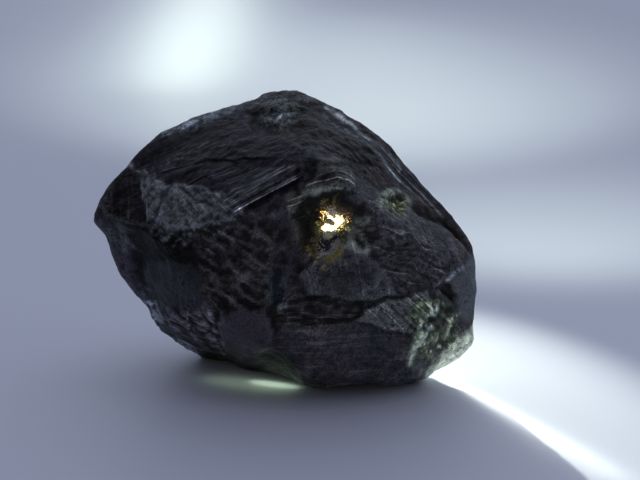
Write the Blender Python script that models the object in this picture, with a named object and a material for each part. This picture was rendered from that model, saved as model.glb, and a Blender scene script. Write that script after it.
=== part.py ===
"""Rough diamond: one natural crystal, dark and faceted, standing on a small flat foot.

The stone is worked out in millimetres in its own frame, measured from its middle: u to the right, v up
and w out of its broad front. The last steps lean it back, stand it on z = 0 and write metres.
"""
import bpy
import numpy as np

# ---------------------------------------------------------------------------------------------------------
# Driving dimensions, in millimetres and degrees
# ---------------------------------------------------------------------------------------------------------
MM = 0.001                      # metres in a millimetre
NAME = "rough_diamond"
LEAN = 15.0                     # how far the broad front leans back from upright
FLOOR = 27.87                   # the floor, below the stone's middle
GRID = 72                       # cells along each side of the cube that the surface is drawn on
STRETCH = (1.3, 1.12, 1.0)      # of the cube's directions, with the shift next: closer cells in front
SHIFT = (0.0, 0.0, 0.3)
SHARPNESS = 70.0                # how tightly the edges between facets are rounded
TRIANGLES = 9400                # of the finished solid
CUTTER = (200.0, 200.0, 40.0)   # the block below the floor that cuts the foot flat
RIM_STEP = 0.5                  # degrees between the directions in which the rim is fitted to the outline
RIM_SMOOTHING = 3               # how many such steps on each side that fit is averaged over
RIM_REACH = 40                  # degrees to the front and back in which the rim's widest point is sought
RIM_FADE = 8                    # how fast the fit fades away from that point: a power of the cosine
SIGHT = 370.0                   # the distance from which the outline is seen

# The outline seen straight on to the broad front, anticlockwise from the left tip.
OUTLINE = [
    (-40.4, 3.7), (-39.7, 2.5), (-37.9, 1.0), (-37.0, -1.8), (-35.6, -4.5), (-34.6, -7.6), (-32.4, -10.4),
    (-29.7, -13.6), (-28.0, -16.5), (-26.4, -19.5), (-22.5, -22.2), (-19.4, -24.0), (-17.6, -25.6),
    (-10.6, -26.2), (-7.8, -27.5), (-1.4, -28.8), (1.9, -30.1), (5.2, -31.0), (11.8, -31.2), (17.2, -30.7),
    (25.4, -30.8), (29.7, -30.5), (30.9, -28.9), (33.5, -27.3), (36.2, -25.1), (38.5, -22.4), (39.5, -21.3),
    (39.2, -18.2), (39.8, -14.3), (40.4, -8.3), (40.3, -5.0), (39.5, -1.7), (37.3, 2.5), (33.6, 6.8),
    (29.9, 10.6), (26.0, 15.1), (22.9, 18.7), (19.0, 22.2), (15.2, 25.2), (10.8, 27.8), (6.4, 29.7),
    (2.6, 30.7), (-1.3, 31.0), (-4.5, 30.5), (-6.3, 29.4), (-10.0, 28.0), (-15.9, 26.9), (-20.9, 25.3),
    (-26.4, 22.4), (-31.0, 18.4), (-33.3, 15.3), (-37.3, 11.2), (-39.3, 7.6)]

# The facets along the rim, clockwise from the left tip: a corner (u, v), then for the edge to the next
# corner the tilt of its front facet, the tilt of its back facet, and the edge's depth w.
RIM = [
    ((-40.4, 3.7), 42, 35, 0), ((-33.3, 15.3), 46, 28, -1), ((-26.4, 22.4), 40, 30, -2),
    ((-15.9, 26.9), 34, 40, -3), ((-4.5, 30.5), 30, 45, -3), ((2.6, 30.7), 30, 40, -2),
    ((10.8, 27.8), 30, 35, -1), ((22.9, 18.7), 32, 38, 0), ((37.3, 2.5), 26, 30, 1),
    ((40.4, -6.0), 20, 40, 3), ((39.5, -21.3), 38, 35, 3), ((29.7, -30.5), 16, 12.5, 8),
    ((5.2, -31.0), 20, 0, 8), ((-17.6, -25.6), 20, 20, -13), ((-26.4, -19.5), 24, 24, -7),
    ((-32.4, -10.4), 31, 24, -3), ((-37.0, -1.8), 33, 20, 0)]

# The facets of the front and of the back: a point (u, v) with the height of the stone over it, and how
# much that height grows for each millimetre to the right and up.
FRONT_FACETS = {
    "striated shoulder": ((-20, 18.5, 13.4), (0.46, -0.48)),
    "left tip": ((-33, 7, 9.0), (1.00, -0.22)),
    "frosted face": ((-24.6, 11.3, 14.3), (0.49, 0.02)),
    "upper plane": ((-4, 18.5, 17.6), (0.06, -0.44)),
    "right shoulder": ((12, 18.5, 17.6), (-0.28, -0.60)),
    "top cap": ((-1, 28, 9.0), (0.0, -1.7)),
    "layered edge": ((24, 15, 8.8), (-1.2, -1.15)),
    "right bowl": ((27, 2, 15.8), (-0.62, -0.28)),
    "right ripples": ((26, -6, 16.8), (-0.48, 0.06)),
    "centre plane": ((12, -8, 21.3), (-0.05, -0.02)),
    "comb band": ((22, -15, 16.8), (-0.35, 0.36)),
    "pale corner": ((31, -17, 11.0), (-0.95, 0.40)),
    "clear corner": ((34, -25, 5.0), (-1.2, 1.5)),
    "lower front": ((10, -24, 16.8), (-0.02, 0.40)),
    "lower lobe": ((-8, -20, 17.8), (0.22, 0.44)),
    "hackly middle": ((-11, -6, 20.0), (0.18, 0.14)),
    "lower left": ((-23, -10.6, 16.0), (0.50, 0.46)),
    "underside left": ((3, -31, 10.5), (1.53, 2.33))}
BACK_FACETS = {
    "back": ((2, 0, 21.6), (-0.05, -0.02)),
    "back upper": ((0, 18, 19.0), (0.05, -0.62)),
    "back upper left": ((-20, 12, 17.3), (0.50, -0.30)),
    "back left": ((-32, 3, 11.5), (1.0, 0.05)),
    "back lower left": ((-20, -12, 19.6), (0.50, 0.36)),
    "back lower": ((4, -20, 20.0), (-0.04, 0.55)),
    "back upper right": ((24, 10, 15.2), (-0.62, -0.45)),
    "back right": ((33, -8, 13.0), (-0.95, 0.05)),
    "back lower right": ((25, -20, 15.5), (-0.55, 0.70))}

# The heights of the relief over its facet, and the distances between layers, in millimetres.
HEIGHT = {
    "shoulder layers": 0.35, "crisp layers": 0.4, "frosted skin": 0.35, "tip layers": 0.4,
    "hackly chips": 0.9, "hackly grain": 0.4, "lumps": 0.8, "lump gaps": 1.1, "lobe": 1.3, "hollow": 1.8,
    "hollow rim": 0.6, "hollow ripples": 0.4, "centre plane": 0.4, "band chips": 0.7, "band": 0.2,
    "fold": 0.6, "cap": 0.6, "cap gaps": 0.8, "cap hollow": 0.8, "upper plane": 0.2, "fan": 0.7,
    "fan layers": 0.5, "right shoulder layers": 0.5, "right shoulder grain": 0.35, "edge layers": 0.5,
    "pit rim": 0.3, "pit": 0.8, "pit grains": 0.5, "arc": 0.8, "right ripples": 0.45, "comb": 0.5,
    "comb ridges": 0.5, "notch": 1.2, "corner": 0.2, "corner grain": 0.5, "corner streaks": 0.55,
    "back chips": 2.0, "back small chips": 0.45, "back layers": 0.5, "broad chips": 1.3, "waves": 0.5,
    "arch": 0.7}
STEP = {
    "shoulder": 2.3, "crisp": 1.35, "tip": 1.25, "hollow": 1.5, "fan": 1.5, "right shoulder": 2.1,
    "edge": 1.5, "right ripples": 1.6, "comb": 1.5, "back": 1.9}
VALLEY_SLOPE = 0.10             # how fast the valley sinks under the striated face, for each millimetre down
VALLEY_TOP = 11.5               # the height v at which it starts
VALLEY_END = (-11.5, -4.5)      # the heights v between which it rises back to the facet below it
BROAD_CHIP = (10.0, 8.0, 10.0)  # the size of the chips that cover the front
WAVE = 17.0                     # the size of the waves over the whole stone
WARPS = ((6.0, 0.9), (2.1, 0.45))   # size and strength of the wander in the patches' edges

# The stone's material: near-black crystal with a smooth, glassy skin.
COLOUR = (0.022, 0.022, 0.030, 1.0)
ROUGHNESS = 0.3
IOR = 2.417


# ---------------------------------------------------------------------------------------------------------
# Tools for uneven surfaces: each takes arrays of points and gives one number for each point
# ---------------------------------------------------------------------------------------------------------
def smooth_step(x, low, high):
    """0 below low, 1 above high, and a smooth rise between."""
    t = np.clip((x - low) / (high - low), 0.0, 1.0)
    return t * t * (3.0 - 2.0 * t)


def hashed(cells, seed):
    """A number from 0 to 1 for each integer cell, always the same for the same seed."""
    mask = 0xFFFFFFFF
    n = np.full(cells.shape[:-1], seed * 374761393 & mask, np.int64)
    for axis, prime in zip(range(cells.shape[-1]), (668265263, 2246822519, 3266489917)):
        n = ((n ^ (cells[..., axis] * prime & mask)) * 1274126177) & mask
        n ^= n >> 15
    n = ((n & 0x7FFFFFFF) * 1597334677) & mask
    n ^= n >> 13
    return (n & 0xFFFFFF) / 0xFFFFFF


def noise(points, seed):
    """Smooth noise from -1 to 1: a random value at each lattice point, blended between them."""
    cell = np.floor(points).astype(np.int64)
    t = points - cell
    t = t * t * t * (t * (t * 6.0 - 15.0) + 10.0)
    total = 0.0
    for corner in np.ndindex((2,) * points.shape[-1]):
        weight = np.prod(np.where(np.array(corner) == 1, t, 1.0 - t), axis=-1)
        total = total + weight * hashed(cell + np.array(corner), seed)
    return 2.0 * total - 1.0


def rough_noise(points, size, octaves, seed):
    """Noise summed over sizes that halve, each turned against the last, from about -1 to 1."""
    turn = np.array([[0.36, 0.48, -0.8], [-0.8, 0.6, 0.0], [0.48, 0.64, 0.6]])
    total, strength, q = 0.0, 1.0, points / size
    for octave in range(octaves):
        total = total + strength * noise(q, seed + octave)
        q = 2.03 * q @ turn + 11.3
        strength *= 0.5
    return total / (2.0 - 0.5 ** (octaves - 1))


def chips(points, bowl, slope, seed):
    """Shell-like chips: the lowest of the bowls round scattered points, each leaning its own way."""
    cell = np.floor(points).astype(np.int64)
    axes = range(points.shape[-1])
    lowest = np.full(len(points), np.inf)
    for corner in np.ndindex((3,) * points.shape[-1]):
        near = cell + np.array(corner) - 1
        seat = near + np.stack([hashed(near, seed + 10 * k) for k in axes], -1)
        lean = 2.0 * np.stack([hashed(near, seed + 101 + 10 * k) for k in axes], -1) - 1.0
        away = points - seat
        height = bowl * (away * away).sum(-1) + slope * (lean * away).sum(-1)
        lowest = np.minimum(lowest, height + 0.35 * hashed(near, seed + 77))
    return lowest


def layers(across, along, step, seed, riser=0.25):
    """Growth layers: long treads that sink slowly and risers that lift them back, each its own height."""
    count = across / step + 0.45 * noise(np.stack([0.45 * across / step, along / 45.0], -1), seed)
    number = np.floor(count)
    part = count - number
    height = 0.25 + 0.75 * hashed(number[:, None].astype(np.int64), seed + 5)
    run = 0.55 + 0.45 * noise(np.stack([along / 9.0, 7.31 * number], -1), seed + 9)
    return (smooth_step(part, 1.0 - riser, 1.0) - part) * height * run


def patch(bent, corners, soft):
    """1 inside the convex patch with these corners (u, v), falling to 0 across its soft edge."""
    u, v = bent[:, 0], bent[:, 1]
    c = np.array(corners, float)
    turning = np.sum(c[:, 0] * np.roll(c[:, 1], -1) - np.roll(c[:, 0], -1) * c[:, 1])
    c = c if turning > 0 else c[::-1]
    inside = np.full(len(u), np.inf)
    for start, end in zip(c, np.roll(c, -1, axis=0)):
        side = (end - start) / np.linalg.norm(end - start)
        inside = np.minimum(inside, (v - start[1]) * side[0] - (u - start[0]) * side[1])
    return smooth_step(inside, -soft / 2, soft / 2)


def turned(points, degrees):
    """The distance along a direction that rises to the right by this angle, and the distance across it."""
    u, v = points[:, 0], points[:, 1]
    angle = np.radians(degrees)
    return u * np.cos(angle) + v * np.sin(angle), v * np.cos(angle) - u * np.sin(angle)


# ---------------------------------------------------------------------------------------------------------
# The main form: rounded facets, drawn out to the outline
# ---------------------------------------------------------------------------------------------------------
def facet_planes():
    """Outward normals of all facets, and how far each facet's plane lies from the stone's middle."""
    normals, distances = [], []
    for side, facets in ((1, FRONT_FACETS), (-1, BACK_FACETS)):
        for point, (to_right, up) in facets.values():
            normal = np.array([-to_right, -up, 1.0])
            normal /= np.linalg.norm(normal)
            normals.append(normal * (1, 1, side))
            distances.append(normal @ np.array(point))
    for (corner, front_tilt, back_tilt, depth), following in zip(RIM, RIM[1:] + RIM[:1]):
        edge = np.array(following[0]) - np.array(corner)
        out = np.array([-edge[1], edge[0]]) / np.linalg.norm(edge)
        for side, tilt in ((1, front_tilt), (-1, back_tilt)):
            flat, deep = np.cos(np.radians(tilt)), side * np.sin(np.radians(tilt))
            normal = np.array([out[0] * flat, out[1] * flat, deep])
            normals.append(normal)
            distances.append(normal @ np.array([corner[0], corner[1], depth]))
    return np.array(normals), np.array(distances)


def rounded_hull(directions):
    """How far the facets let each direction reach, with their edges rounded, and the outward normal."""
    total = np.zeros(len(directions))
    gradient = np.zeros((len(directions), 3))
    for normal, distance in zip(*facet_planes()):
        reach = np.maximum(directions @ normal / distance, 0.0)
        total += reach ** SHARPNESS
        gradient += (reach ** (SHARPNESS - 1) / distance)[:, None] * normal
    return total ** (-1 / SHARPNESS), gradient / np.linalg.norm(gradient, axis=1)[:, None]


def outline_reach(angles):
    """How far the outline reaches at each angle round the stone's middle."""
    across, up = np.cos(angles), np.sin(angles)
    reach = np.zeros(len(angles))
    for start, end in zip(np.array(OUTLINE), np.roll(OUTLINE, -1, axis=0)):
        side = end - start
        facing = across * side[1] - up * side[0]
        facing = np.where(np.abs(facing) < 1e-9, 1e-9, facing)
        distance = (start[0] * side[1] - start[1] * side[0]) / facing
        along = (across * distance - start[0]) * side[0] + (up * distance - start[1]) * side[1]
        along /= side @ side
        hit = (distance > 0) & (along > -1e-9) & (along < 1 + 1e-9)
        reach = np.where(hit, np.maximum(reach, distance), reach)
    return reach


def outline_gain(directions):
    """What each direction's reach is multiplied by, so that the rim meets the outline: 1 away from it."""
    angles = np.radians(np.arange(-180, 180 + RIM_STEP / 2, RIM_STEP))
    tilts = np.radians(np.arange(-RIM_REACH, RIM_REACH + 1))
    fan = np.stack([np.cos(angles)[:, None] * np.cos(tilts), np.sin(angles)[:, None] * np.cos(tilts),
                    np.sin(tilts) + 0 * angles[:, None]], -1)
    reach = rounded_hull(fan.reshape(-1, 3))[0].reshape(fan.shape[:2])
    seen = reach * np.cos(tilts) / (1 - reach * np.sin(tilts) / SIGHT)
    gain = (outline_reach(angles) / seen.max(axis=1))[:-1]
    widest = tilts[seen.argmax(axis=1)][:-1]
    shifts = range(-RIM_SMOOTHING, RIM_SMOOTHING + 1)
    gain, widest = (sum(np.roll(row, shift) for shift in shifts) / len(shifts) for row in (gain, widest))
    turn = np.arctan2(directions[:, 1], directions[:, 0])
    gain, widest = (np.interp(turn, angles, np.append(row, row[0])) for row in (gain, widest))
    return 1 + (gain - 1) * np.cos(np.arcsin(directions[:, 2]) - widest) ** RIM_FADE


# ---------------------------------------------------------------------------------------------------------
# Relief: what growth, etching and breakage left on each face, as a height along the facet's normal
# ---------------------------------------------------------------------------------------------------------
def left_side_relief(points, bent):
    """Growth layers on the shoulder and tip, the frosted face and the valley that it sinks into."""
    u, v = bent[:, 0], bent[:, 1]
    along, across = turned(points, 23.5)
    shoulder = patch(bent, [(-34, 14.5), (-24.6, 11), (-12, 10), (3, 9), (3, 14), (-10, 24), (-14, 28),
                            (-34, 22)], 1.5)
    height = HEIGHT["shoulder layers"] * shoulder * layers(across, along, STEP["shoulder"], 21)
    along, across = turned(points, 28)
    crisp = patch(bent, [(-9, 4.5), (3, 10.5), (3, 14.5), (-13, 9.5)], 1.0)
    height += HEIGHT["crisp layers"] * crisp * layers(across, along, STEP["crisp"], 23)
    sink = VALLEY_SLOPE * np.maximum(VALLEY_TOP - v, 0) * smooth_step(v, *VALLEY_END)
    height -= sink * smooth_step(u, -34.5, -30.5) * smooth_step(-u, 9, 17 - 0.3 * (v - 3))
    frosted = patch(bent, [(-30, 13.5), (-24.6, 11), (-13, 10.2), (-8.3, 4.8), (-12.5, 3.6), (-18.5, 1.2),
                           (-29.5, 4.6)], 1.2)
    height += HEIGHT["frosted skin"] * frosted
    tip = patch(bent, [(-36, 15), (-29.3, 14), (-29.3, 4.5), (-36, 4)], 1.5)
    return height + HEIGHT["tip layers"] * tip * layers(points[:, 0], points[:, 1], STEP["tip"], 41)


def lower_left_relief(points, bent):
    """Hackly fracture in the middle, rounded lumps at the lower left and the smooth lobe beside them."""
    u, v = bent[:, 0], bent[:, 1]
    along, across = turned(points, -32)
    hackly = patch(bent, [(-20, 1), (-10, 3.5), (-3, 1.5), (-3, -13), (-14, -14.5), (-17.5, -10)], 2.0)
    slivers = chips(np.stack([along / 5.5, across / 1.7], -1), 0.75, 0.5, 51) - 0.3
    grain = rough_noise(points, 2.5, 3, 52)
    height = hackly * (HEIGHT["hackly chips"] * slivers + HEIGHT["hackly grain"] * grain)
    lumps = patch(bent, [(-23, -14.5), (-12, -14.5), (-11.5, -23), (-17, -27), (-23, -23), (-26, -18)], 2.0)
    height += lumps * (HEIGHT["lumps"] - HEIGHT["lump gaps"] * chips(bent / 3.2, 0.9, 0.4, 61))
    lobe = patch(bent, [(-12, -15.5), (-8, -14.0), (-4, -14.8), (-2.5, -19), (-4, -26), (-9, -27),
                        (-12.5, -23)], 2.4)
    return height + HEIGHT["lobe"] * lobe


def centre_relief(bent):
    """The hollow under its arched rim, the plane below it, the broken band and the lower front."""
    u, v = bent[:, 0], bent[:, 1]
    hollow = patch(bent, [(3.2, 9), (9.5, 9.6), (15.5, 6.3), (18, 1), (14.5, -1), (8, -2.8), (4, -0.5),
                          (2.3, 5)], 5.0)
    height = -HEIGHT["hollow"] * hollow
    ring = np.hypot((u - 9.5) / 9.0, (v - 1.0) / 9.5)
    rim = np.exp(-((ring - 1.0) * 9) ** 2) * smooth_step(v, 3, 8) * smooth_step(-u, -14, -8)
    height += HEIGHT["hollow rim"] * rim
    ripples = patch(bent, [(0.5, 9), (4.2, 9), (4.8, 0.5), (1.5, 0)], 1.4)
    height += HEIGHT["hollow ripples"] * ripples * layers(v - 0.25 * u, u, STEP["hollow"], 81, 0.4)
    plane = patch(bent, [(12.5, 0.2), (15.5, -2.5), (22, -10.5), (18, -12), (4, -11.5), (2.5, -7)], 1.2)
    height += HEIGHT["centre plane"] * plane
    band = patch(bent, [(-2, -12.5), (8, -12), (16, -12), (17, -17), (6, -17.5), (-3, -18.5)], 1.6)
    slivers = chips(np.stack([u / 3.4, v / 1.5], -1), 0.8, 0.5, 73) - 0.5
    height += band * (HEIGHT["band chips"] * slivers - HEIGHT["band"])
    fold = np.exp(-(u + 1.6) ** 2) * smooth_step(v, -14.5, -12.5) * smooth_step(-v, 5, 8)
    return height - HEIGHT["fold"] * fold


def top_relief(bent):
    """The lumpy cap, the dark hollow under it, the flat plane beside it and the fan of terraces."""
    u, v = bent[:, 0], bent[:, 1]
    cap = patch(bent, [(-8, 32), (-7, 26), (-2, 22.5), (3, 24), (8, 31), (3, 33)], 2.0)
    height = cap * (HEIGHT["cap"] - HEIGHT["cap gaps"] * chips(bent / 2.6, 0.9, 0.6, 91))
    height -= HEIGHT["cap hollow"] * patch(bent, [(-9, 26.8), (-1.5, 26.3), (-1, 21.8), (-5, 21.5)], 1.8)
    plane = patch(bent, [(-12.5, 23.7), (-9.4, 24.6), (-3, 20.6), (3, 18.7), (2, 15.5), (-9.4, 15),
                         (-11.5, 18.5)], 1.0)
    height += HEIGHT["upper plane"] * plane
    fan = patch(bent, [(4.8, 10.8), (7.5, 16), (11, 17.2), (14.2, 13), (13.8, 10.2)], 1.4)
    round_fan = 9 * np.arctan2(u - 9, v - 5)
    terraces = layers(np.hypot(u - 9, v - 5), round_fan, STEP["fan"], 83, 0.4)
    return height + fan * (HEIGHT["fan"] + HEIGHT["fan layers"] * terraces)


def right_side_relief(points, bent):
    """Steps on the shoulder and along the edge, the pits, the ripples, the comb band and the corner."""
    u, v = bent[:, 0], bent[:, 1]
    shoulder = patch(bent, [(8, 27), (17, 22), (20, 15), (14, 14), (8, 18)], 1.8)
    steps = layers(v + 0.35 * u, u, STEP["right shoulder"], 97, 0.35)
    grain = rough_noise(points, 2.4, 3, 98)
    height = shoulder * (HEIGHT["right shoulder layers"] * steps + HEIGHT["right shoulder grain"] * grain)
    edge = patch(bent, [(9, 30), (28, 15), (40, 0), (36, -2), (24, 13), (8, 25)], 2.0)
    steps = layers(0.70 * u + 0.714 * v, turned(points, -45)[0], STEP["edge"], 121, 0.35)
    height += HEIGHT["edge layers"] * edge * steps
    from_pit = np.hypot(u - 23, v - 7)
    pit_rim = np.exp(-((from_pit - 3.4) / 0.9) ** 2) * smooth_step(v, 4, 9)
    in_pit = 1 - smooth_step(from_pit, 0.8, 3.4)
    height += HEIGHT["pit rim"] * pit_rim + in_pit * (HEIGHT["pit grains"] * rough_noise(points, 1.8, 2, 99)
                                                      - HEIGHT["pit"])
    from_arc = np.abs(np.hypot(u - 25.5, v + 6.5) - 13.2)
    arc = np.exp(-(from_arc / 0.9) ** 2) * smooth_step(u, 25, 29) * smooth_step(v, -4, 0)
    height -= HEIGHT["arc"] * arc
    ripples = patch(bent, [(18.5, 2), (30, 1), (33, -8), (30, -10.5), (20, -9)], 2.4)
    wavy = v + 0.25 * u + 1.6 * noise(points[:, :2] / 7, 101)
    height += HEIGHT["right ripples"] * ripples * layers(wavy, u, STEP["right ripples"], 102, 0.45)
    along, across = turned(points, -42)
    comb = patch(bent, [(14.5, -16.5), (20, -12.5), (28, -10), (29.5, -12), (27, -19), (21, -18.5)], 1.2)
    ridges = layers(across, along, STEP["comb"], 103, 0.35)
    height += comb * (HEIGHT["comb"] + HEIGHT["comb ridges"] * ridges)
    height -= HEIGHT["notch"] * patch(bent, [(33, -8.3), (36, -10.8), (35.2, -12.2), (31, -9.8)], 1.4)
    corner = patch(bent, [(26, -13), (31, -11.5), (36, -14), (36, -23), (27, -23.5), (24.5, -19)], 2.2)
    grain = rough_noise(points, 3.5, 3, 111)
    streaks = chips(np.stack([(u + 0.35 * v) / 1.6, v / 3.6], -1), 0.8, 0.5, 112)
    return height + corner * (HEIGHT["corner"] + HEIGHT["corner grain"] * grain
                              - HEIGHT["corner streaks"] * streaks)


def back_relief(points, bent):
    """Broad chips, smaller chips inside them and belts of growth layers over the whole back."""
    along, across = turned(points, 62)
    steps = layers(across + 0.3 * points[:, 2], along, STEP["back"], 134)
    height = HEIGHT["back chips"] * (chips(bent / 15.0, 0.9, 0.5, 131) - 0.45)
    height += HEIGHT["back small chips"] * (chips(bent / 5.0, 0.8, 0.5, 132) - 0.4)
    return height + HEIGHT["back layers"] * smooth_step(noise(points / 16, 133), -0.1, 0.35) * steps


def relief(points):
    """Height over the main form at each point: the front's faces, the back, and broad waves over all."""
    w = points[:, 2]
    front = smooth_step(w, -3, 4)
    back = smooth_step(-w, -2, 6)
    u, v = points[:, 0], points[:, 1]
    for number, (size, strength) in enumerate(WARPS):
        u = u + strength * noise(points / size, 201 + number)
        v = v + strength * noise(points / size, 203 + number)
    bent = np.stack([u, v, w], -1)
    height = HEIGHT["broad chips"] * (chips(bent / BROAD_CHIP, 0.45, 0.75, 7) - 0.4)
    height += left_side_relief(points, bent)
    height += lower_left_relief(points, bent)
    height += centre_relief(bent)
    height += top_relief(bent)
    height += right_side_relief(points, bent)
    arch = smooth_step(u, -9, -4) * smooth_step(-u, -5, 2) * smooth_step(-v, 18, 27)
    waves = HEIGHT["waves"] * rough_noise(points, WAVE, 3, 3)
    return front * height + back * back_relief(points, bent) + waves - HEIGHT["arch"] * arch


# ---------------------------------------------------------------------------------------------------------
# The solid
# ---------------------------------------------------------------------------------------------------------
def stone_points(cube):
    """The stone's surface over the points of a cube from -1 to 1, leaning back with the floor at 0."""
    directions = np.tan(cube * np.pi / 4)
    directions /= np.linalg.norm(directions, axis=1)[:, None]
    directions = directions * STRETCH + SHIFT
    directions /= np.linalg.norm(directions, axis=1)[:, None]
    reach, normals = rounded_hull(directions)
    points = directions * (reach * outline_gain(directions))[:, None]
    points += normals * relief(points)[:, None]
    u, v, w = points.T
    lean = np.radians(LEAN)
    y = v * np.sin(lean) - w * np.cos(lean)
    z = v * np.cos(lean) + w * np.sin(lean) + FLOOR
    return np.stack([u, y, z], -1)


def read_points(mesh):
    """The mesh's points as an array."""
    flat = np.empty(3 * len(mesh.vertices), np.float32)
    mesh.vertices.foreach_get("co", flat)
    return flat.reshape(-1, 3).astype(float)


def write_points(mesh, points):
    """Move the mesh's points to those of an array."""
    mesh.vertices.foreach_set("co", points.astype(np.float32).ravel())
    mesh.update()


def make_stone(collection):
    """The stone from a cube, thinned to its triangle count and cut off flat at the floor."""
    bpy.ops.mesh.primitive_cube_add(size=2)
    cube = bpy.context.object
    bpy.ops.object.mode_set(mode="EDIT")
    bpy.ops.mesh.subdivide(number_cuts=GRID - 1)
    bpy.ops.object.mode_set(mode="OBJECT")
    write_points(cube.data, MM * stone_points(read_points(cube.data)))

    wide, long, deep = (MM * size for size in CUTTER)
    bpy.ops.mesh.primitive_cube_add(size=1, location=(0, 0, -deep / 2), scale=(wide, long, deep))
    floor_cutter = bpy.context.object
    floor_cutter.name = "floor_cutter"
    floor_cutter.hide_render = True
    floor_cutter.display_type = "WIRE"

    thin = cube.modifiers.new("thin", "DECIMATE")
    thin.ratio = TRIANGLES / (12 * GRID * GRID)
    foot = cube.modifiers.new("foot", "BOOLEAN")
    foot.operation = "DIFFERENCE"
    foot.object = floor_cutter
    bpy.context.view_layer.update()
    evaluated = cube.evaluated_get(bpy.context.evaluated_depsgraph_get())
    mesh = bpy.data.meshes.new_from_object(evaluated)
    points = read_points(mesh)
    middle = (points.min(axis=0) + points.max(axis=0)) / 2
    write_points(mesh, points - (middle[0], middle[1], 0.0))
    for helper in (cube, floor_cutter):
        bpy.data.objects.remove(helper, do_unlink=True)

    stone = bpy.data.objects.new(NAME, mesh)
    collection.objects.link(stone)
    return stone


def make_material():
    """Near-black crystal."""
    material = bpy.data.materials.new("dark diamond")
    material.use_nodes = True
    shader = material.node_tree.nodes["Principled BSDF"]
    shader.inputs["Base Color"].default_value = COLOUR
    shader.inputs["Roughness"].default_value = ROUGHNESS
    shader.inputs["IOR"].default_value = IOR
    material.diffuse_color = COLOUR
    return material


def main():
    """Clear the scene and make the stone."""
    for item in list(bpy.data.objects):
        bpy.data.objects.remove(item, do_unlink=True)
    collection = bpy.data.collections.new(NAME)
    bpy.context.scene.collection.children.link(collection)
    stone = make_stone(collection)
    stone.data.materials.clear()
    stone.data.materials.append(make_material())
    stone.data.shade_flat()


main()
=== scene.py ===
import bpy
import numpy as np
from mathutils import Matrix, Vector


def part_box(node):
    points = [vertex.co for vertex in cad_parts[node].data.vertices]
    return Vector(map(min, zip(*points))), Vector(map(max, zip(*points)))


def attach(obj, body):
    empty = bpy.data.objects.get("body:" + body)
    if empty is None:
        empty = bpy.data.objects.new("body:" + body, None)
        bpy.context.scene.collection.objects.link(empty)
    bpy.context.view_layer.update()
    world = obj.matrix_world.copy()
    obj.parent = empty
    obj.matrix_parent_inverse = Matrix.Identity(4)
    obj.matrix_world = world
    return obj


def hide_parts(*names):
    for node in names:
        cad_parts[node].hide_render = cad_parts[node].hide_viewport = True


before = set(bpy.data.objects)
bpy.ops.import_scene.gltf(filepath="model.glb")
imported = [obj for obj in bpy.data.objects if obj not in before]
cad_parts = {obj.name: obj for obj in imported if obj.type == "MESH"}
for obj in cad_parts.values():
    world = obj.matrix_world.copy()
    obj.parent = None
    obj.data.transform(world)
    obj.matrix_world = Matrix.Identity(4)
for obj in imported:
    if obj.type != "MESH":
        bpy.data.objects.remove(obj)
cad_low, cad_high = (np.array(corner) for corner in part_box("rough_diamond"))
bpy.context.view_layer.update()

# ----------------------------------------
# The crystal's main form
# The stone is one diamond, carbon that grew in flat layers deep in the earth and was later dissolved and
# broken a little. What is left is a lump of broad facets that meet at rounded edges.
# It is worked out in millimetres round its middle: u to the right, v up, and w out of the broad front.
# ----------------------------------------
MM = 0.001
LEAN = 15.0                 # degrees that the broad front leans back
FLOOR = 27.87               # from the floor up to the middle
CELLS = (190, 150, 60)      # along u, v and w, of the box whose cells the surface is drawn on
BOX = (40.0, 31.0, 18.0)    # half the sides of that box: cells of about 0.4 mm on the front and back
SHARPNESS = 70.0            # how tightly the edges between facets are rounded
RIM_SMOOTHING = 3           # half degrees to each side that the fit to the outline is averaged over
RIM_FADE = 8                # how fast that fit fades away from the rim's widest point
SIGHT = 370.0               # the distance that the outline is seen from

# The outline seen straight on to the broad front, anticlockwise from the left tip.
OUTLINE = [
    (-40.4, 3.7), (-39.7, 2.5), (-37.9, 1.0), (-37.0, -1.8), (-35.6, -4.5), (-34.6, -7.6), (-32.4, -10.4),
    (-29.7, -13.6), (-28.0, -16.5), (-26.4, -19.5), (-22.5, -22.2), (-19.4, -24.0), (-17.6, -25.6),
    (-10.6, -26.2), (-7.8, -27.5), (-1.4, -28.8), (1.9, -30.1), (5.2, -31.0), (11.8, -31.2), (17.2, -30.7),
    (25.4, -30.8), (29.7, -30.5), (30.9, -28.9), (33.5, -27.3), (36.2, -25.1), (38.5, -22.4), (39.5, -21.3),
    (39.2, -18.2), (39.8, -14.3), (40.4, -8.3), (40.3, -5.0), (39.5, -1.7), (37.3, 2.5), (33.6, 6.8),
    (29.9, 10.6), (26.0, 15.1), (22.9, 18.7), (19.0, 22.2), (15.2, 25.2), (10.8, 27.8), (6.4, 29.7),
    (2.6, 30.7), (-1.3, 31.0), (-4.5, 30.5), (-6.3, 29.4), (-10.0, 28.0), (-15.9, 26.9), (-20.9, 25.3),
    (-26.4, 22.4), (-31.0, 18.4), (-33.3, 15.3), (-37.3, 11.2), (-39.3, 7.6)]

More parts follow.
